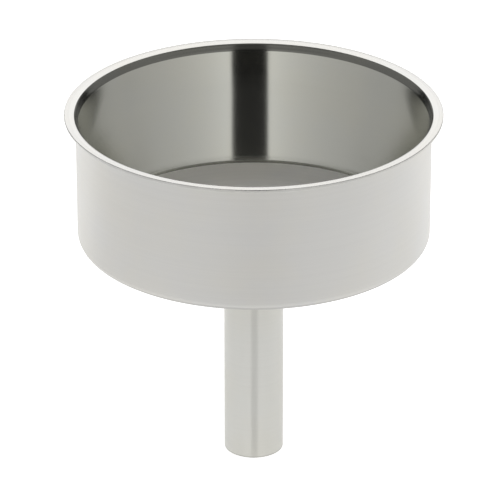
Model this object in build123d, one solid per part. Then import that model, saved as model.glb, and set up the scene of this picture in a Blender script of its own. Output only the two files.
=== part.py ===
from build123d import *
import math
import os

# Filter funnel of a stovetop coffee maker, in stainless steel sheet and tube.
# Millimetres. +Z is the axis of revolution, up out of the cup's mouth.
# The origin is the centre of the tube's lower end.

# ---- driving dimensions ----
overall_height = 62.2      # tube outlet to the flange's top face
sheet = 0.5                # thickness of the drawn sheet

wall_outer_d = 58.8        # straight cylindrical wall
cup_height = 22.5          # flange's top face to the underside of the floor
flange_outer_d = 62.5
flange_bend_r = 1.0        # under the flange, where it meets the wall
corner_outer_r = 1.5       # rounded corner between wall and floor

plate_d = 33.0             # perforated plate, lying in a step in the floor
plate_t = 0.5
step_depth = 0.5           # the plate's top is flush with the floor
ledge_width = 1.2          # flat ring that carries the plate
hole_d = 1.0
hole_pitch = 2.0           # between rings of holes, and about that along each ring
hole_rings = 7

well_slope = 20.0          # degrees below horizontal, cone under the plate
neck_bend_r = 1.5          # upper side of the bend from cone to collar
collar_length = 3.0        # straight part of the collar round the tube

tube_outer_d = 10.0
tube_wall = 0.5
tube_edge = 0.12           # deburred edges of the tube's lower end
spigot_d = 9.6             # reduced upper end, pushed up into the collar

bead_leg = 0.9             # weld between the tube's shoulder and the collar

# ---- derived ----
z_top = overall_height
r_wall = wall_outer_d / 2
r_in = r_wall - sheet
z_floor = z_top - cup_height + sheet
r_step = plate_d / 2
z_ledge = z_floor - step_depth
r_cone = r_step - ledge_width
r_tube = tube_outer_d / 2
r_spigot = spigot_d / 2
slope = math.radians(well_slope)
z_neck = z_ledge - (r_cone - r_spigot) * math.tan(slope)
z_straight = z_neck - neck_bend_r * math.tan((math.pi / 2 - slope) / 2)
z_collar = z_straight - collar_length
z_shoulder = z_collar - bead_leg
tube_length = z_straight


def offset_points(points, distance):
    """The polyline's parallel at that distance, to the left of its direction."""
    n = len(points)
    normals = []
    for (x0, y0), (x1, y1) in zip(points, points[1:]):
        length = math.hypot(x1 - x0, y1 - y0)
        normals.append((-(y1 - y0) / length, (x1 - x0) / length))
    out = []
    for i, (x, y) in enumerate(points):
        if i in (0, n - 1):
            nx, ny = normals[0 if i == 0 else -1]
            out.append((x + nx * distance, y + ny * distance))
        else:
            (ax, ay), (bx, by) = normals[i - 1], normals[i]
            k = distance / (1 + ax * bx + ay * by)
            out.append((x + (ax + bx) * k, y + (ay + by) * k))
    return out


def rounded(points, radii):
    """Edges of a polyline with each inner corner rounded, or left sharp at radius 0."""
    edges, start = [], points[0]
    for (px, py), (x, y), (qx, qy), r in zip(points, points[1:], points[2:], radii):
        if r <= 0:
            edges.append(Line(start, (x, y)))
            start = (x, y)
            continue
        ux, uy = px - x, py - y
        vx, vy = qx - x, qy - y
        lu, lv = math.hypot(ux, uy), math.hypot(vx, vy)
        ux, uy, vx, vy = ux / lu, uy / lu, vx / lv, vy / lv
        half = math.acos(max(-1.0, min(1.0, ux * vx + uy * vy))) / 2
        run = r / math.tan(half)
        a = (x + ux * run, y + uy * run)
        b = (x + vx * run, y + vy * run)
        bx, by = ux + vx, uy + vy
        lb = math.hypot(bx, by)
        reach = r / math.sin(half)
        cx, cy = x + bx / lb * reach, y + by / lb * reach
        mid = (cx - bx / lb * r, cy - by / lb * r)
        if math.hypot(a[0] - start[0], a[1] - start[1]) > 1e-6:
            edges.append(Line(start, a))
        edges.append(ThreePointArc(a, mid, b))
        start = b
    edges.append(Line(start, points[-1]))
    return edges


def lathe(edges):
    """A solid of revolution about Z from a closed loop of edges drawn in (radius, height)."""
    face = make_face(Wire(edges))
    turned = revolve(Plane.XZ * face, Axis.Z, 360)
    return turned


# ---- cup: flange, wall, floor, plate step, conical well and neck collar in one sheet ----
upper = [
    (flange_outer_d / 2, z_top),
    (r_in, z_top),
    (r_in, z_floor),
    (r_step, z_floor),
    (r_step, z_ledge),
    (r_cone, z_ledge),
    (r_spigot, z_neck),
    (r_spigot, z_collar),
]
# Looking from the flange's edge along the upper side, the sheet's other side is on the left.
lower = offset_points(upper, sheet)
# The step is coined, so both its sides keep the sheet's thickness.
upper_radii = [flange_bend_r + sheet, corner_outer_r - sheet, 0.2, 0.0, 1.0, neck_bend_r]
lower_radii = [flange_bend_r, corner_outer_r, 0.0, 0.4, 1.5, neck_bend_r - sheet]
loop = (
    rounded(upper, upper_radii)
    + [Line(upper[-1], lower[-1])]
    + rounded(lower[::-1], lower_radii[::-1])
    + [Line(lower[0], upper[0])]
)
cup_shell = lathe(loop)
# The flange's cut edge is deburred.
rim_edges = [
    e
    for e in cup_shell.edges().filter_by(GeomType.CIRCLE)
    if abs(e.radius - flange_outer_d / 2) < 1e-4
]
cup_shell = fillet(rim_edges, 0.12)
cup_shell.label = "cup_shell"

# ---- perforated plate, flush in the floor's step ----
plate = Pos(0, 0, z_ledge + plate_t / 2) * Cylinder(r_step, plate_t)
top_rim = plate.edges().filter_by(GeomType.CIRCLE).sort_by(Axis.Z)[-1]
plate = chamfer(top_rim, 0.12)
holes = []
for ring in range(hole_rings + 1):
    count = 6 * ring or 1
    for i in range(count):
        a = 2 * math.pi * (i + 0.5 * (ring % 2)) / count
        holes.append(
            Pos(
                ring * hole_pitch * math.cos(a),
                ring * hole_pitch * math.sin(a),
                z_ledge + plate_t / 2,
            )
            * Cylinder(hole_d / 2, plate_t * 3)
        )
filter_plate = plate - holes
filter_plate.label = "filter_plate"

# ---- tube, with a reduced upper end that locates in the collar ----
ro, ri, e = r_tube, r_tube - tube_wall, tube_edge
spout_tube = lathe(
    [
        Line((ri, e), (ri + e, 0)),
        Line((ri + e, 0), (ro - e, 0)),
        Line((ro - e, 0), (ro, e)),
        Line((ro, e), (ro, z_shoulder)),
        Line((ro, z_shoulder), (r_spigot, z_shoulder)),
        Line((r_spigot, z_shoulder), (r_spigot, tube_length)),
        Line((r_spigot, tube_length), (ri + e, tube_length)),
        Line((ri + e, tube_length), (ri, tube_length - e)),
        Line((ri, tube_length - e), (ri, e)),
    ]
)
spout_tube.label = "spout_tube"

# ---- weld bead: fills the gap between the tube's shoulder and the collar's end ----
bead_top = (r_spigot + sheet, z_collar)
bead_foot = (r_tube, z_shoulder)
bead_mid = (r_tube + 0.28, z_collar - bead_leg * 0.52)
weld_bead = lathe(
    [
        Line((r_spigot, z_collar), bead_top),
        ThreePointArc(bead_top, bead_mid, bead_foot),
        Line(bead_foot, (r_spigot, z_shoulder)),
        Line((r_spigot, z_shoulder), (r_spigot, z_collar)),
    ]
)
weld_bead.label = "weld_bead"

os.makedirs("parts", exist_ok=True)
for name, shape in {
    "cup_shell": cup_shell,
    "filter_plate": filter_plate,
    "spout_tube": spout_tube,
    "weld_bead": weld_bead,
}.items():
    export_step(shape, f"parts/{name}.step")
    box = shape.bounding_box()
    print(name, "volume", round(shape.volume, 1), "z", round(box.min.Z, 3), round(box.max.Z, 3), "size", box.size)
print("z_floor", z_floor, "z_ledge", z_ledge, "z_neck", z_neck, "z_straight", z_straight, "z_collar", z_collar)
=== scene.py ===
import bmesh
import bpy
import math
import random
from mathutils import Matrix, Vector
from mathutils.geometry import delaunay_2d_cdt


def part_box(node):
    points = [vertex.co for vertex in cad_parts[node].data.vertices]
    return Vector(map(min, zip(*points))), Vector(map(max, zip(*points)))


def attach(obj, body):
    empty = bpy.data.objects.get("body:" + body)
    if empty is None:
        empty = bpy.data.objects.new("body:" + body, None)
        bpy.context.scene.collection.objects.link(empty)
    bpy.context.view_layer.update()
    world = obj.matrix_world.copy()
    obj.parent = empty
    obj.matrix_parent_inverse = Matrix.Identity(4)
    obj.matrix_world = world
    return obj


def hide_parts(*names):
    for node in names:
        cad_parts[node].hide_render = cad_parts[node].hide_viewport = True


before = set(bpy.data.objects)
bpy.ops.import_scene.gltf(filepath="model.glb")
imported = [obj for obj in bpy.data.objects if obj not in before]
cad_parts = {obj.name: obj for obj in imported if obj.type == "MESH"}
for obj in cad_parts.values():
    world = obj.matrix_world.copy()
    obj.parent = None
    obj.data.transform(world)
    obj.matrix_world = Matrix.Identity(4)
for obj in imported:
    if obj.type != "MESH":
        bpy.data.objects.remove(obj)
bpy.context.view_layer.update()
MM = 0.001

# ---------------------------------------------------------------- where the CAD nodes are
CUP_LO, CUP_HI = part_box("cup_shell")
PLATE_LO, PLATE_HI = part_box("filter_plate")
TUBE_LO, TUBE_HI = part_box("spout_tube")
BEAD_LO, BEAD_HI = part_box("weld_bead")

SHEET = 0.5 * MM
R_FLANGE = CUP_HI.x
Z_TOP = CUP_HI.z
R_WALL = R_FLANGE - 1.85 * MM
R_IN = R_WALL - SHEET
Z_FLOOR = PLATE_HI.z
R_STEP = PLATE_HI.x
Z_LEDGE = PLATE_LO.z
R_CONE = R_STEP - 1.2 * MM
R_TUBE = TUBE_HI.x
R_SPIGOT = R_TUBE - 0.2 * MM
R_BORE = R_TUBE - 0.5 * MM
Z_COLLAR = CUP_LO.z
Z_SHOULDER = BEAD_LO.z
Z_TUBE = TUBE_HI.z
SLOPE = math.radians(20)
Z_NECK = Z_LEDGE - (R_CONE - R_SPIGOT) * math.tan(SLOPE)


# ---------------------------------------------------------------- mesh helpers
def offset_points(points, distance):
    """The polyline's parallel at that distance, to the left of its direction."""
    normals = []
    for (x0, y0), (x1, y1) in zip(points, points[1:]):
        length = math.hypot(x1 - x0, y1 - y0)
        normals.append((-(y1 - y0) / length, (x1 - x0) / length))
    out = []
    for i, (x, y) in enumerate(points):
        if i in (0, len(points) - 1):
            nx, ny = normals[0 if i == 0 else -1]
            out.append((x + nx * distance, y + ny * distance))
        else:
            (ax, ay), (bx, by) = normals[i - 1], normals[i]
            k = distance / (1 + ax * bx + ay * by)
            out.append((x + (ax + bx) * k, y + (ay + by) * k))
    return out


def rounded(points, radii, steps=12, spacing=2.0 * MM):
    """Points along a polyline whose inner corners are rounded, and for each stretch the run or bend that it lies on."""
    line, tags = [points[0]], []

    def run_to(q, tag):
        p = line[-1]
        length = math.hypot(q[0] - p[0], q[1] - p[1])
        if length < 1e-8:
            return
        n = max(1, math.ceil(length / spacing))
        for i in range(1, n + 1):
            line.append((p[0] + (q[0] - p[0]) * i / n, p[1] + (q[1] - p[1]) * i / n))
            tags.append(tag)

    for c, ((px, py), (x, y), (qx, qy), r) in enumerate(zip(points, points[1:], points[2:], radii)):
        if r <= 0:
            run_to((x, y), ("run", c))
            continue
        ux, uy, vx, vy = px - x, py - y, qx - x, qy - y
        lu, lv = math.hypot(ux, uy), math.hypot(vx, vy)
        ux, uy, vx, vy = ux / lu, uy / lu, vx / lv, vy / lv
        half = math.acos(max(-1.0, min(1.0, ux * vx + uy * vy))) / 2
        run = r / math.tan(half)
        bx, by = ux + vx, uy + vy
        lb = math.hypot(bx, by)
        cx, cy = x + bx / lb * r / math.sin(half), y + by / lb * r / math.sin(half)
        a = (x + ux * run, y + uy * run)
        b = (x + vx * run, y + vy * run)
        run_to(a, ("run", c))
        a0 = math.atan2(a[1] - cy, a[0] - cx)
        a1 = math.atan2(b[1] - cy, b[0] - cx)
        turn = (a1 - a0 + math.pi) % (2 * math.pi) - math.pi
        n = max(3, min(steps, math.ceil(abs(turn) * r / (0.06 * MM)))) if r < 0.5 * MM else steps
        for i in range(1, n + 1):
            t = a0 + turn * i / n
            line.append((cx + r * math.cos(t), cy + r * math.sin(t)))
            tags.append(("bend", c))
    run_to(points[-1], ("run", len(points) - 2))
    return line, tags


def ring_mesh(name, profile, around, which, shape=None):
    """A closed ring turned from a closed loop of (r, z) points. which gives each stretch's material index,
    and shape(r, z, angle) may move a vertex."""
    bm = bmesh.new()
    rows = []
    for i in range(around):
        a = 2 * math.pi * i / around
        ca, sa = math.cos(a), math.sin(a)
        row = []
        for r, z in profile:
            rr, zz = shape(r, z, a) if shape else (r, z)
            row.append(bm.verts.new((rr * ca, rr * sa, zz)))
        rows.append(row)
    n = len(profile)
    for i in range(around):
        one, two = rows[i], rows[(i + 1) % around]
        for j in range(n):
            k = (j + 1) % n
            face = bm.faces.new((one[j], one[k], two[k], two[j]))
            face.smooth = True
            face.material_index = which[j]
    bmesh.ops.recalc_face_normals(bm, faces=bm.faces)
    return to_object(name, bm)


def to_object(name, bm):
    mesh = bpy.data.meshes.new(name)
    bm.to_mesh(mesh)
    bm.free()
    piece = bpy.data.objects.new(name, mesh)
    bpy.context.scene.collection.objects.link(piece)
    return piece


def sharpen(piece, degrees):
    """Marks the edges that turn more than this as sharp, so that flats stay flat and rounds stay round."""
    bm = bmesh.new()
    bm.from_mesh(piece.data)
    limit = math.radians(degrees)
    for e in bm.edges:
        e.smooth = not (len(e.link_faces) == 2 and e.calc_face_angle(0) > limit)
    bm.to_mesh(piece.data)
    bm.free()


# ---------------------------------------------------------------- materials
class Tree:
    """Short ways to add nodes to a material or world."""

    def __init__(self, owner):
        owner.use_nodes = True
        self.t = owner.node_tree
        self.t.nodes.clear()

    def node(self, kind, **values):
        n = self.t.nodes.new(kind)
        for k, v in values.items():
            setattr(n, k, v)
        return n

    def put(self, value, socket):
        if isinstance(value, bpy.types.NodeSocket):
            self.t.links.new(value, socket)
        elif value is not None:
            socket.default_value = value

    def math(self, op, a, b=None, c=None, clamp=False):
        n = self.node("ShaderNodeMath", operation=op, use_clamp=clamp)
        for v, s in zip((a, b, c), n.inputs):
            self.put(v, s)
        return n.outputs[0]

    def span(self, value, a, b, lo=0.0, hi=1.0, smooth=True):
        n = self.node("ShaderNodeMapRange", interpolation_type="SMOOTHSTEP" if smooth else "LINEAR", clamp=True)
        for v, s in zip((value, a, b, lo, hi), n.inputs):
            self.put(v, s)
        return n.outputs[0]

    def mix(self, factor, a, b, kind="FLOAT", blend="MIX"):
        n = self.node("ShaderNodeMix", data_type=kind, clamp_factor=True)
        if kind == "RGBA":
            n.blend_type = blend
            self.put(factor, n.inputs[0]); self.put(a, n.inputs[6]); self.put(b, n.inputs[7])
            return n.outputs[2]
        self.put(factor, n.inputs[0]); self.put(a, n.inputs[2]); self.put(b, n.inputs[3])
        return n.outputs[0]

    def noise(self, vector, scale, detail=2.0, rough=0.5):
        n = self.node("ShaderNodeTexNoise", noise_dimensions="3D")
        self.put(vector, n.inputs["Vector"])
        n.inputs["Scale"].default_value = scale
        n.inputs["Detail"].default_value = detail
        n.inputs["Roughness"].default_value = rough
        return n.outputs["Fac"]

    def combine(self, x, y, z):
        n = self.node("ShaderNodeCombineXYZ")
        for v, s in zip((x, y, z), n.inputs):
            self.put(v, s)
        return n.outputs[0]


def steel(name, tint, rough, aniso, along="around", line_pitch=0.10, blotch=0.05, bump=0.02,
          rough_lines=0.05, tone_lines=0.04, edge=None, pits=0.0, heat=None, flank=0.0, flank_within=None,
          flank_z=None, flank_below=None, shade=None):
    """Worked stainless steel. along is the way the tool marks run: around the axis, up the axis, or none.
    line_pitch is the marks' spacing in mm. edge lists worn edges as (radius or None, height or None, half width), in
    mm.
    flank is the angle that the turned lines' long flanks lean up from a wall, in degrees; flank_within is the radius
    in mm inside which they lean fully, and the one outside which they don't, and flank_z is (height in mm, lean there,
    second height), with flank being the lean at that second height; flank_below is
    (height, second height, lean), a further lean that sets in between the two. shade is (height in mm, half width,
    amount): painted shade, a darker base colour below that height."""
    mat = bpy.data.materials.new(name)
    t = Tree(mat)
    out = t.node("ShaderNodeOutputMaterial")
    shader = t.node("ShaderNodeBsdfPrincipled")
    t.t.links.new(shader.outputs[0], out.inputs[0])
    shader.inputs["Metallic"].default_value = 1.0
    shader.inputs["Anisotropic"].default_value = aniso
    if aniso > 0:
        tangent = t.node("ShaderNodeTangent", direction_type="RADIAL", axis="Z")
        t.t.links.new(tangent.outputs[0], shader.inputs["Tangent"])
        if along == "around":            # marks round the axis spread a highlight across them
            shader.inputs["Anisotropic Rotation"].default_value = 0.25

    coord = t.node("ShaderNodeTexCoord").outputs["Object"]
    split = t.node("ShaderNodeSeparateXYZ")
    t.put(coord, split.inputs[0])
    x, y, z = split.outputs
    r = t.math("SQRT", t.math("ADD", t.math("MULTIPLY", x, x), t.math("MULTIPLY", y, y)))
    k = 1000.0 / line_pitch           # marks per metre
    if along == "around":
        across = t.math("ADD", z, r)
        fine = t.combine(t.math("MULTIPLY", x, 22.0), t.math("MULTIPLY", y, 22.0), t.math("MULTIPLY", across, k))
        coarse = t.combine(t.math("MULTIPLY", x, 9.0), t.math("MULTIPLY", y, 9.0), t.math("MULTIPLY", across, k / 6))
    elif along == "up":
        fine = t.combine(t.math("MULTIPLY", x, k), t.math("MULTIPLY", y, k), t.math("MULTIPLY", z, 30.0))
        coarse = t.combine(t.math("MULTIPLY", x, k / 6), t.math("MULTIPLY", y, k / 6), t.math("MULTIPLY", z, 10.0))
    else:
        grain = t.node("ShaderNodeVectorMath", operation="SCALE")
        t.put(coord, grain.inputs[0]); grain.inputs["Scale"].default_value = k
        fine = grain.outputs[0]
        grain = t.node("ShaderNodeVectorMath", operation="SCALE")
        t.put(coord, grain.inputs[0]); grain.inputs["Scale"].default_value = k / 6
        coarse = grain.outputs[0]
    marks = t.noise(fine, 1.0, detail=3.0, rough=0.65)
    bands = t.noise(coarse, 1.0, detail=2.0, rough=0.5)
    cloud = t.noise(coord, 70.0, detail=3.0, rough=0.55)
    scratch = t.span(marks, 0.66, 0.80)      # scattered deeper marks, where the noise peaks

    # colour
    tone = t.math("ADD", t.math("MULTIPLY", t.math("SUBTRACT", marks, 0.5), 2 * tone_lines),
                  t.math("MULTIPLY", t.math("SUBTRACT", bands, 0.5), 2 * tone_lines))
    tone = t.math("ADD", tone, t.math("MULTIPLY", t.math("SUBTRACT", cloud, 0.5), 2 * blotch))
    tone = t.math("ADD", tone, 1.0)
    colour = t.mix(t.span(cloud, 0.35, 0.65), tuple(tint) + (1,), (tint[0] * 1.012, tint[1] * 1.004, tint[2] * 0.982, 1), "RGBA")
    worn = None
    for er, ez, half in edge or ():
        mask = None
        if er is not None:
            mask = t.span(t.math("ABSOLUTE", t.math("SUBTRACT", r, er * MM)), half * MM, half * 0.25 * MM)
        if ez is not None:
            m2 = t.span(t.math("ABSOLUTE", t.math("SUBTRACT", z, ez * MM)), half * MM, half * 0.25 * MM)
            mask = m2 if mask is None else t.math("MULTIPLY", mask, m2)
        worn = mask if worn is None else t.math("MAXIMUM", worn, mask)
    if worn is not None:
        breakup = t.span(t.noise(coord, 900.0, detail=2.0), 0.35, 0.62)
        worn = t.math("MULTIPLY", worn, breakup)
        tone = t.math("ADD", tone, t.math("MULTIPLY", worn, 0.14))
    # painted shade: the base colour darkens below the given height, standing in for shade that falls there
    if shade is not None:
        sz, sh, amount = shade
        tone = t.math("SUBTRACT", tone, t.math("MULTIPLY", t.span(z, (sz + sh) * MM, (sz - sh) * MM), amount))
    if heat is not None:                 # straw tint left by welding, in a band of height
        hz, hh = heat
        band = t.span(t.math("ABSOLUTE", t.math("SUBTRACT", z, hz * MM)), hh * MM, 0.0)
        band = t.math("MULTIPLY", band, t.span(cloud, 0.3, 0.7, 0.5, 1.0))
        colour = t.mix(t.math("MULTIPLY", band, 0.55), colour, (0.56, 0.47, 0.33, 1), "RGBA")
    bright = t.node("ShaderNodeVectorMath", operation="SCALE")
    t.put(colour, bright.inputs[0]); t.put(tone, bright.inputs["Scale"])
    t.put(bright.outputs[0], shader.inputs["Base Color"])

    # roughness
    rr = t.math("ADD", t.math("MULTIPLY", t.math("SUBTRACT", bands, 0.5), 2 * rough_lines),
                t.math("MULTIPLY", t.math("SUBTRACT", cloud, 0.5), 2 * rough_lines))
    rr = t.math("ADD", rr, rough)
    rr = t.math("ADD", rr, t.math("MULTIPLY", scratch, 0.08))
    if worn is not None:
        rr = t.math("SUBTRACT", rr, t.math("MULTIPLY", worn, 0.08))
    rr = t.math("MAXIMUM", rr, 0.04)
    t.put(rr, shader.inputs["Roughness"])

    # bump, from the marks, and shallow pits where asked
    height = t.math("ADD", t.math("MULTIPLY", marks, 0.7), t.math("MULTIPLY", bands, 0.3))
    if pits:
        pit = t.span(t.noise(coord, 1400.0, detail=2.0), 0.30, 0.42)
        height = t.math("SUBTRACT", height, t.math("MULTIPLY", t.math("SUBTRACT", 1.0, pit), pits))
    b = t.node("ShaderNodeBump")
    b.inputs["Strength"].default_value = 1.0
    b.inputs["Distance"].default_value = bump * MM
    t.put(height, b.inputs["Height"])
    normal = b.outputs[0]
    if flank:
        lean = t.node("ShaderNodeVectorMath", operation="ADD")
        t.put(normal, lean.inputs[0])
        up = math.tan(math.radians(flank))
        if flank_within:
            full, none = flank_within
            t.put(t.combine(0.0, 0.0, t.span(r, full * MM, none * MM, up, 0.0)), lean.inputs[1])
        elif flank_z:
            za, lean_a, zb = flank_z
            amount = t.span(z, za * MM, zb * MM, math.tan(math.radians(lean_a)), up)
            if flank_below:
                zc, zd, more = flank_below
                amount = t.math("ADD", amount, t.span(z, zc * MM, zd * MM, 0.0, math.tan(math.radians(more))))
            t.put(t.combine(0.0, 0.0, amount), lean.inputs[1])
        else:
            lean.inputs[1].default_value = (0, 0, up)
        unit = t.node("ShaderNodeVectorMath", operation="NORMALIZE")
        t.put(lean.outputs[0], unit.inputs[0])
        normal = unit.outputs[0]
    t.t.links.new(normal, shader.inputs["Normal"])
    return mat


TINT = (0.600, 0.595, 0.580)
ZT = Z_TOP / MM
RIM_EDGES = [(R_FLANGE / MM, ZT, 0.25), (R_FLANGE / MM, ZT - 0.5, 0.2)]
R_IN_WALL, A_IN_WALL, FLANK, FLANK_TOP = 0.18, 1.0, 34.0, 27.0
TINT_IN = (0.600, 0.602, 0.555)
R_FLOOR, A_FLOOR = 0.70, 0.6
R_OUT, A_OUT, CORNER_SHADE, TUBE_SHADE = 0.46, 0.4, 0.26, 0.24
R_TUBEM, A_TUBEM, TUBE_TINT = 0.33, 1.0, 1.04
M_IN = steel("steel_inner_wall", TINT_IN, R_IN_WALL, A_IN_WALL, "around", line_pitch=0.16, bump=0.0002, tone_lines=0.02, rough_lines=0.01, blotch=0.015, flank=FLANK_TOP,
             flank_z=(ZT - 9.0, FLANK, ZT - 2.0))
R_BEND, A_BEND, BEND_PAINTED_SHADE, BEND_FULL, BEND_NONE = 0.22, 1.0, 0.37, 29.0, 29.3
LIP_LEAN, LIP_STEPS, FLOOR_PAINTED_LIGHT = 58.0, 5, 1.48
# the rim's inner bend is a darker copy of the inner wall's steel, at 0.37 of its colour: painted shade for the dark
# band the bend shows
M_BEND = steel("steel_bend_painted_shade", [c * BEND_PAINTED_SHADE for c in TINT_IN], R_BEND, A_BEND, "around", line_pitch=0.12, bump=0.0003, tone_lines=0.02, rough_lines=0.02, blotch=0.02, flank=FLANK_TOP, flank_within=(BEND_FULL, BEND_NONE))
FOOT_TINT, FOOT_STEPS = 1.0, 12
M_FOOT = steel("steel_foot", [c * FOOT_TINT for c in TINT_IN], R_BEND, A_BEND, "around", line_pitch=0.12, bump=0.0003, tone_lines=0.02, rough_lines=0.02, blotch=0.02, flank=FLANK,
               flank_z=(Z_FLOOR / MM + 0.30, -12.0, Z_FLOOR / MM + 1.0), flank_below=(Z_FLOOR / MM + 0.38, Z_FLOOR / MM + 0.28, 36.0))
# the cup's floor is a lighter copy of the steel, at 1.48 times its colour: painted light standing in for the light the
# floor catches
M_FLOOR = steel("steel_floor_painted_light", [c * FLOOR_PAINTED_LIGHT for c in TINT], R_FLOOR, A_FLOOR, "around", line_pitch=0.20, bump=0.0010, tone_lines=0.03, rough_lines=0.03, blotch=0.03)
M_RIM = steel("steel_rim", [c * 0.84 for c in TINT], 0.34, 0.5, "around", line_pitch=0.10, bump=0.0003, tone_lines=0.03, rough_lines=0.03, blotch=0.02, edge=RIM_EDGES)
LIP_FLAT = 0.99
M_LIP_FLAT = steel("steel_lip_flat", [c * LIP_FLAT for c in TINT], 0.24, 0.5, "around", line_pitch=0.10, bump=0.0003, tone_lines=0.03, rough_lines=0.03, blotch=0.02, edge=RIM_EDGES)
M_LIP = steel("steel_lip", TINT, 0.20, 0.5, "around", line_pitch=0.10, bump=0.0003, tone_lines=0.03, rough_lines=0.03, blotch=0.02, edge=RIM_EDGES, flank=LIP_LEAN)
# the outer corner's lower, downward-facing part carries painted shade below 40.45 mm, standing in for the reflection of
# the shaded floor under the cup
M_OUT = steel("steel_outer_wall", TINT, R_OUT, A_OUT, "around", line_pitch=0.14, bump=0.0010, tone_lines=0.03, rough_lines=0.03, blotch=0.02,
              shade=(40.45, 0.2, CORNER_SHADE))
M_UNDER = steel("steel_underside", TINT, 0.38, 0.4, "around", line_pitch=0.18, bump=0.0010, tone_lines=0.03, rough_lines=0.04, blotch=0.04,
                heat=(Z_COLLAR / MM, 2.6))
M_PLATE = steel("steel_plate", (0.590, 0.590, 0.580), 0.36, 0.0, "none", line_pitch=0.25, bump=0.0012, tone_lines=0.03, rough_lines=0.04, blotch=0.03, pits=0.5)
# the tube's lowest 0.25 mm carries painted shade, a darker band standing in for its contact shadow on the floor
M_TUBE = steel("steel_tube", [c * TUBE_TINT for c in (0.610, 0.608, 0.580)], R_TUBEM, A_TUBEM, "around", line_pitch=0.12, bump=0.0008, tone_lines=0.03, rough_lines=0.03, blotch=0.02,
               shade=(0.25, 0.15, TUBE_SHADE), heat=(Z_COLLAR / MM - 1.2, 2.4))
M_BORE = steel("steel_tube_bore", (0.56, 0.555, 0.545), 0.32, 0.0, "none", line_pitch=0.3, bump=0.0010, tone_lines=0.03, rough_lines=0.04, blotch=0.04)
M_WELD = steel("steel_weld", (0.53, 0.51, 0.475), 0.40, 0.0, "none", line_pitch=0.15, bump=0.004, tone_lines=0.06, rough_lines=0.06, blotch=0.06, pits=0.4)

# ---------------------------------------------------------------- cup
EDGE = 0.12 * MM      # deburred cut edges
upper = [(R_FLANGE, Z_TOP), (R_IN, Z_TOP), (R_IN, Z_FLOOR), (R_STEP, Z_FLOOR), (R_STEP, Z_LEDGE),
         (R_CONE, Z_LEDGE), (R_SPIGOT, Z_NECK), (R_SPIGOT, Z_COLLAR)]
lower = offset_points(upper, SHEET)
mid_edge = (R_FLANGE, Z_TOP - SHEET / 2)
cup_loop = [mid_edge] + upper + lower[::-1] + [mid_edge]
cup_radii = [EDGE] + [r * MM for r in (1.5, 1.0, 0.2, 0, 1.0, 1.5, 0, 0, 1.0, 1.5, 0.4, 0, 1.5, 1.0)] + [EDGE]
cup_points, cup_tags = rounded(cup_loop, cup_radii, steps=14)
CUP_MATERIALS = (M_IN, M_BEND, M_FLOOR, M_RIM, M_OUT, M_UNDER, M_LIP, M_LIP_FLAT, M_FOOT)
# runs: 0 edge, 1 flange, 2 inner wall, 3 floor, 4 step, 5 ledge, 6 cone, 7 collar bore, 8 collar end, 9 collar outside,
# 10 cone outside, 11 ledge underside, 12 step outside, 13 floor underside, 14 outer wall, 15 flange underside, 16 edge
CUP_RUN = {0: 3, 1: 7, 2: 0, 3: 2, 4: 2, 5: 2, 6: 5, 7: 5, 8: 5, 9: 5, 10: 5, 11: 5, 12: 5, 13: 5, 14: 4, 15: 3, 16: 3}
CUP_BEND = {0: 3, 1: 1, 2: 8, 3: 2, 5: 2, 6: 5, 9: 5, 10: 5, 11: 5, 13: 4, 14: 4, 15: 3}
cup_which = [CUP_RUN[i] if kind == "run" else CUP_BEND.get(i, 5) for kind, i in cup_tags]
for j in range(FOOT_STEPS, 14):  # the floor's finish, with its painted light, reaches a little way up the corner
    cup_which[cup_tags.index(("bend", 2)) + j] = 2
for j in range(LIP_STEPS):       # the lip's polished top reaches a third of the way round the rim's bend
    cup_which[cup_tags.index(("bend", 1)) + j] = 6
cup_which[cup_tags.index(("bend", 1)) + 13] = 0   # and the wall's finish runs into the bend's start

cup = ring_mesh("cup", cup_points[:-1], 320, cup_which)
for m in CUP_MATERIALS:
    cup.data.materials.append(m)
sharpen(cup, 40)
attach(cup, "root")
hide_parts("cup_shell")

# ---------------------------------------------------------------- perforated plate
HOLE_R, PITCH, RINGS, HSEG = 0.5 * MM, 2.0 * MM, 7, 20


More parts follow.
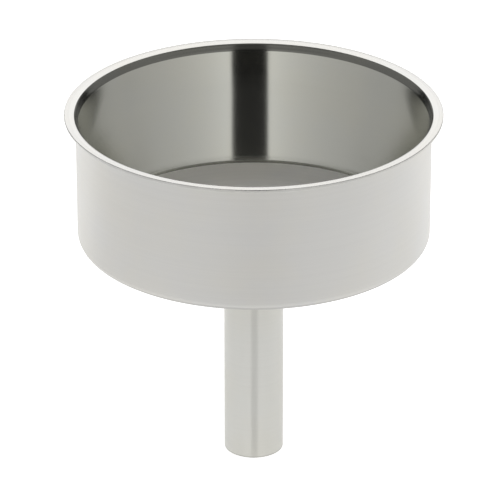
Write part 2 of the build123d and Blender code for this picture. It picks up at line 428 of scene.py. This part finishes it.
def plate_piece():
    centres = []
    for ring in range(RINGS + 1):
        count = 6 * ring or 1
        for i in range(count):
            a = 2 * math.pi * (i + 0.5 * (ring % 2)) / count
            centres.append((ring * PITCH * math.cos(a), ring * PITCH * math.sin(a)))
    edge_n = 240
    edge_r = R_STEP - 0.02 * MM
    thick = Z_FLOOR - Z_LEDGE
    # rings of each hole, from the top face down: (radius, depth). Punched from above: rolled in at the top, sharp below
    hole_rows = [(HOLE_R + 0.13 * MM, 0.0), (HOLE_R + 0.07 * MM, 0.012 * MM), (HOLE_R + 0.02 * MM, 0.05 * MM), (HOLE_R, 0.11 * MM),
                 (HOLE_R, thick - 0.05 * MM), (HOLE_R + 0.03 * MM, thick)]
    edge_rows = [(edge_r - 0.12 * MM, 0.0), (edge_r - 0.035 * MM, 0.035 * MM), (edge_r, 0.12 * MM), (edge_r, thick - 0.06 * MM), (edge_r - 0.06 * MM, thick)]
    bm = bmesh.new()

    def circle(cx, cy, r, z, n):
        return [bm.verts.new((cx + r * math.cos(2 * math.pi * i / n), cy + r * math.sin(2 * math.pi * i / n), z)) for i in range(n)]

    def bridge(one, two):
        n = len(one)
        for i in range(n):
            f = bm.faces.new((one[i], one[(i + 1) % n], two[(i + 1) % n], two[i]))
            f.smooth = True

    loops = {0: [], 1: []}
    for cx, cy in centres:
        rows = [circle(cx, cy, r, Z_FLOOR - d, HSEG) for r, d in hole_rows]
        for one, two in zip(rows, rows[1:]):
            bridge(one, two)
        loops[0].append(rows[0]); loops[1].append(rows[-1])
    rows = [circle(0, 0, r, Z_FLOOR - d, edge_n) for r, d in edge_rows]
    for one, two in zip(rows, rows[1:]):
        bridge(one, two)
    loops[0].append(rows[0]); loops[1].append(rows[-1])
    for side, groups in loops.items():
        z = Z_FLOOR if side == 0 else Z_LEDGE
        pts, keep, whose, edges, start = [], [], [], [], 0
        for k, g in enumerate(groups):
            for i, v in enumerate(g):
                pts.append(Vector((v.co.x * 1000, v.co.y * 1000)))
                keep.append(v)
                whose.append(k)
                edges.append((start + i, start + (i + 1) % len(g)))
            start += len(g)
        v2, e2, f2, ov, oe, of_ = delaunay_2d_cdt(pts, edges, [], 1, 1e-7)
        made = {}
        for i, o in enumerate(ov):
            made[i] = keep[o[0]] if o else bm.verts.new((v2[i].x / 1000, v2[i].y / 1000, z))
        for f in f2:
            owners = {whose[ov[i][0]] if ov[i] else -1 for i in f}
            if len(owners) == 1 and owners.pop() < len(centres):   # all its corners on one hole's rim: it lies in the hole
                continue
            bm.faces.new([made[i] for i in f]).smooth = False   # the sheet's faces are truly flat between the holes
    bmesh.ops.recalc_face_normals(bm, faces=bm.faces)
    return to_object("plate", bm)


plate = plate_piece()
plate.data.materials.append(M_PLATE)
sharpen(plate, 45)
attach(plate, "root")
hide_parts("filter_plate")

# ---------------------------------------------------------------- tube
R_MID = (R_TUBE + R_BORE) / 2
tube_loop = [(R_MID, 0), (R_TUBE, 0), (R_TUBE, Z_SHOULDER), (R_SPIGOT, Z_SHOULDER), (R_SPIGOT, Z_TUBE), (R_BORE, Z_TUBE), (R_BORE, 0), (R_MID, 0)]
tube_points, tube_tags = rounded(tube_loop, [EDGE, 0, 0, 0.04 * MM, EDGE, EDGE], steps=6)
# runs: 0 lower end, 1 outside, 2 shoulder, 3 spigot, 4 upper end, 5 bore, 6 lower end
tube_which = [1 if (kind, i) in (("run", 5), ("bend", 4)) else 0 for kind, i in tube_tags]
tube = ring_mesh("tube", tube_points[:-1], 192, tube_which)
tube.data.materials.append(M_TUBE)
tube.data.materials.append(M_BORE)
sharpen(tube, 40)
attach(tube, "root")
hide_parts("spout_tube")

# ---------------------------------------------------------------- weld bead
BEAD_N, RIPPLES = 368, 46
bead_h = Z_COLLAR - Z_SHOULDER
rng = random.Random(11)
jit = [rng.uniform(-0.22, 0.22) for _ in range(RIPPLES)]
amp = [rng.uniform(0.75, 1.1) for _ in range(RIPPLES)]


def bead_profile():
    """Root in the joint, then an arc through the same three points as the CAD bead's face."""
    (ax, ay), (bx, by), (cx, cy) = (R_SPIGOT + SHEET, Z_COLLAR), (R_TUBE + 0.28 * MM, Z_COLLAR - 0.52 * bead_h), (R_TUBE, Z_SHOULDER)
    d = 2 * (ax * (by - cy) + bx * (cy - ay) + cx * (ay - by))
    ox = ((ax * ax + ay * ay) * (by - cy) + (bx * bx + by * by) * (cy - ay) + (cx * cx + cy * cy) * (ay - by)) / d
    oy = ((ax * ax + ay * ay) * (cx - bx) + (bx * bx + by * by) * (ax - cx) + (cx * cx + cy * cy) * (bx - ax)) / d
    r = math.hypot(ax - ox, ay - oy)
    a0, a1 = math.atan2(ay - oy, ax - ox), math.atan2(cy - oy, cx - ox)
    turn = (a1 - a0 + math.pi) % (2 * math.pi) - math.pi
    pts = [(R_SPIGOT, Z_COLLAR), (R_SPIGOT + SHEET * 0.5, Z_COLLAR)]
    pts += [(ox + r * math.cos(a0 + turn * i / 16), oy + r * math.sin(a0 + turn * i / 16)) for i in range(17)]
    pts += [(R_SPIGOT, Z_SHOULDER), (R_SPIGOT, Z_SHOULDER + bead_h / 2)]
    return pts


def bead_shape(r, z, a):
    out = min(1.0, max(0.0, (r - R_SPIGOT - 0.1 * MM) / (0.3 * MM)))
    u = a / (2 * math.pi) * RIPPLES + 0.35 * (z - Z_SHOULDER) / bead_h
    i = int(math.floor(u)) % RIPPLES
    f = u - math.floor(u)
    crest = math.sqrt(max(0.0, 1 - (2 * f - 1) ** 2))          # one puddle's scale, overlapping the next
    depth = max(0.0, 0.055 * MM * amp[i] * (1 - crest) + 0.02 * MM * jit[i])
    ends = min(1.0, (Z_COLLAR - z) / (0.25 * MM), (z - Z_SHOULDER) / (0.12 * MM))
    return r - depth * out * max(0.0, ends), z


bead = ring_mesh("bead", bead_profile(), BEAD_N, [0] * 21, bead_shape)
bead.data.materials.append(M_WELD)
sharpen(bead, 50)
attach(bead, "root")
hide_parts("weld_bead")


# ---------------------------------------------------------------- floor, light and camera
def floor_piece():
    bm = bmesh.new()
    n, ring = 96, [0.0, 0.02, 0.06, 0.15, 0.4, 1.0, 2.5]
    rows = [[bm.verts.new((r * math.cos(2 * math.pi * i / n), r * math.sin(2 * math.pi * i / n), 0)) for i in range(n)] for r in ring[1:]]
    mid = bm.verts.new((0, 0, 0))
    for i in range(n):
        bm.faces.new((mid, rows[0][i], rows[0][(i + 1) % n]))
    for one, two in zip(rows, rows[1:]):
        for i in range(n):
            bm.faces.new((one[i], two[i], two[(i + 1) % n], one[(i + 1) % n]))
    return to_object("stage_floor", bm)


FLOOR_ALBEDO, GLOW_FRONT, GLOW_BACK, GLOW_FAR, DIM_SIDE = 0.60, 0.66, 0.86, 0.25, 0.18
floor = floor_piece()
floor.location.z = -0.0002
fmat = bpy.data.materials.new("stage_paper")
ft = Tree(fmat)
fo = ft.node("ShaderNodeOutputMaterial")
fs = ft.node("ShaderNodeBsdfPrincipled")
ft.t.links.new(fs.outputs[0], fo.inputs[0])
fs.inputs["Base Color"].default_value = (FLOOR_ALBEDO, FLOOR_ALBEDO, FLOOR_ALBEDO, 1)
fs.inputs["Roughness"].default_value = 0.9
fs.inputs["Specular IOR Level"].default_value = 0.1
fs.inputs["Emission Color"].default_value = (1, 1, 0.995, 1)
paper = ft.node("ShaderNodeSeparateXYZ")
ft.put(ft.node("ShaderNodeTexCoord").outputs["Object"], paper.inputs[0])
glow = ft.math("ADD", ft.span(paper.outputs[1], -0.100, -0.020, GLOW_FRONT, GLOW_BACK), ft.span(paper.outputs[1], 0.020, 0.100, 0.0, GLOW_FAR))
far_x = ft.math("ADD", paper.outputs[0], 0.122)
far_y = ft.math("ADD", paper.outputs[1], 0.005)
far = ft.math("SQRT", ft.math("ADD", ft.math("MULTIPLY", far_x, far_x), ft.math("MULTIPLY", far_y, far_y)))
ft.put(ft.math("ADD", glow, ft.span(far, 0.020, 0.080, -DIM_SIDE, 0.0)), fs.inputs["Emission Strength"])
floor.data.materials.append(fmat)

GAP_CENTRE, GAP_HALF, GAP_SOFT, GAP_FLARE = 2.8, 12.2, 0.3, 2.0
SIDE, SIDE_NEAR, SIDE_DECAY, SIDE_END, SIDE_TOP, SIDE_TOP2 = 0.44, 0.50, 38.0, 123.0, 54.0, 68.0
BACK, BACK_START, BACK_TOP, BACK_LOW, SIDE_SLANT = 1.45, 154.0, 72.0, 8.0, 22.0
AMBIENT, CEILING = 0.003, 0.22
world = bpy.data.worlds.new("studio")
bpy.context.scene.world = world
w = Tree(world)
wo = w.node("ShaderNodeOutputWorld")
bg = w.node("ShaderNodeBackground")
w.t.links.new(bg.outputs[0], wo.inputs[0])
ws = w.node("ShaderNodeSeparateXYZ")
w.put(w.node("ShaderNodeTexCoord").outputs["Generated"], ws.inputs[0])
dx, dy, dz = ws.outputs
# azimuth from -Y, positive towards +X, and elevation, in degrees
turn = w.math("MULTIPLY", w.math("ARCTAN2", dx, w.math("MULTIPLY", dy, -1.0)), 180 / math.pi)
az = w.math("ABSOLUTE", turn)
el = w.math("MULTIPLY", w.math("ARCSINE", dz), 180 / math.pi)
off = w.math("SUBTRACT", w.math("ABSOLUTE", w.math("SUBTRACT", turn, GAP_CENTRE)), w.span(el, 28.0, 48.0, 0.0, GAP_FLARE, False))
side = w.math("MULTIPLY", w.span(off, GAP_HALF - GAP_SOFT, GAP_HALF + GAP_SOFT), w.span(w.math("SUBTRACT", az, w.span(el, -4.0, 28.0, -SIDE_SLANT, SIDE_SLANT)), SIDE_END + 2, SIDE_END - 2))
fade = w.math("EXPONENT", w.math("MULTIPLY", w.math("MAXIMUM", w.math("SUBTRACT", off, GAP_HALF), 0.0), -1.0 / SIDE_DECAY))
fade = w.math("ADD", w.math("MULTIPLY", fade, SIDE_NEAR), SIDE)
side = w.math("MULTIPLY", w.math("MULTIPLY", side, fade), w.span(el, SIDE_TOP2, SIDE_TOP))
back = w.math("MULTIPLY", w.span(az, BACK_START - 4, BACK_START + 4), w.math("MULTIPLY", w.span(el, BACK_TOP + 4, BACK_TOP - 4), w.span(el, BACK_LOW, BACK_LOW + 10.0)))
light = w.math("ADD", side, w.math("MULTIPLY", back, BACK))
light = w.math("ADD", light, w.math("ADD", w.math("MULTIPLY", w.span(el, 50.0, 70.0), CEILING), AMBIENT))
path = w.node("ShaderNodeLightPath")
w.put(w.mix(path.outputs["Is Camera Ray"], light, 0.97), bg.inputs["Strength"])
bg.inputs["Color"].default_value = (1.0, 0.998, 0.992, 1)

scene = bpy.context.scene
scene.view_settings.view_transform = "Standard"

U = 29.25 * MM
PITCH, ROLL = math.radians(25.52), -0.0029
cam_data = bpy.data.cameras.new("camera")
cam = bpy.data.objects.new("camera", cam_data)
scene.collection.objects.link(cam)
cam.location = (0, -20.5 * U, Z_TOP + 8.92 * U)
cam_data.sensor_width = 36.0
cam_data.lens = 3969.0 / 500 * 36
cam_data.shift_x = -3.736 / 500
cam_data.clip_start, cam_data.clip_end = 0.05, 20
cam.rotation_euler = (math.pi / 2 - PITCH, 0, 0)
scene.camera = cam
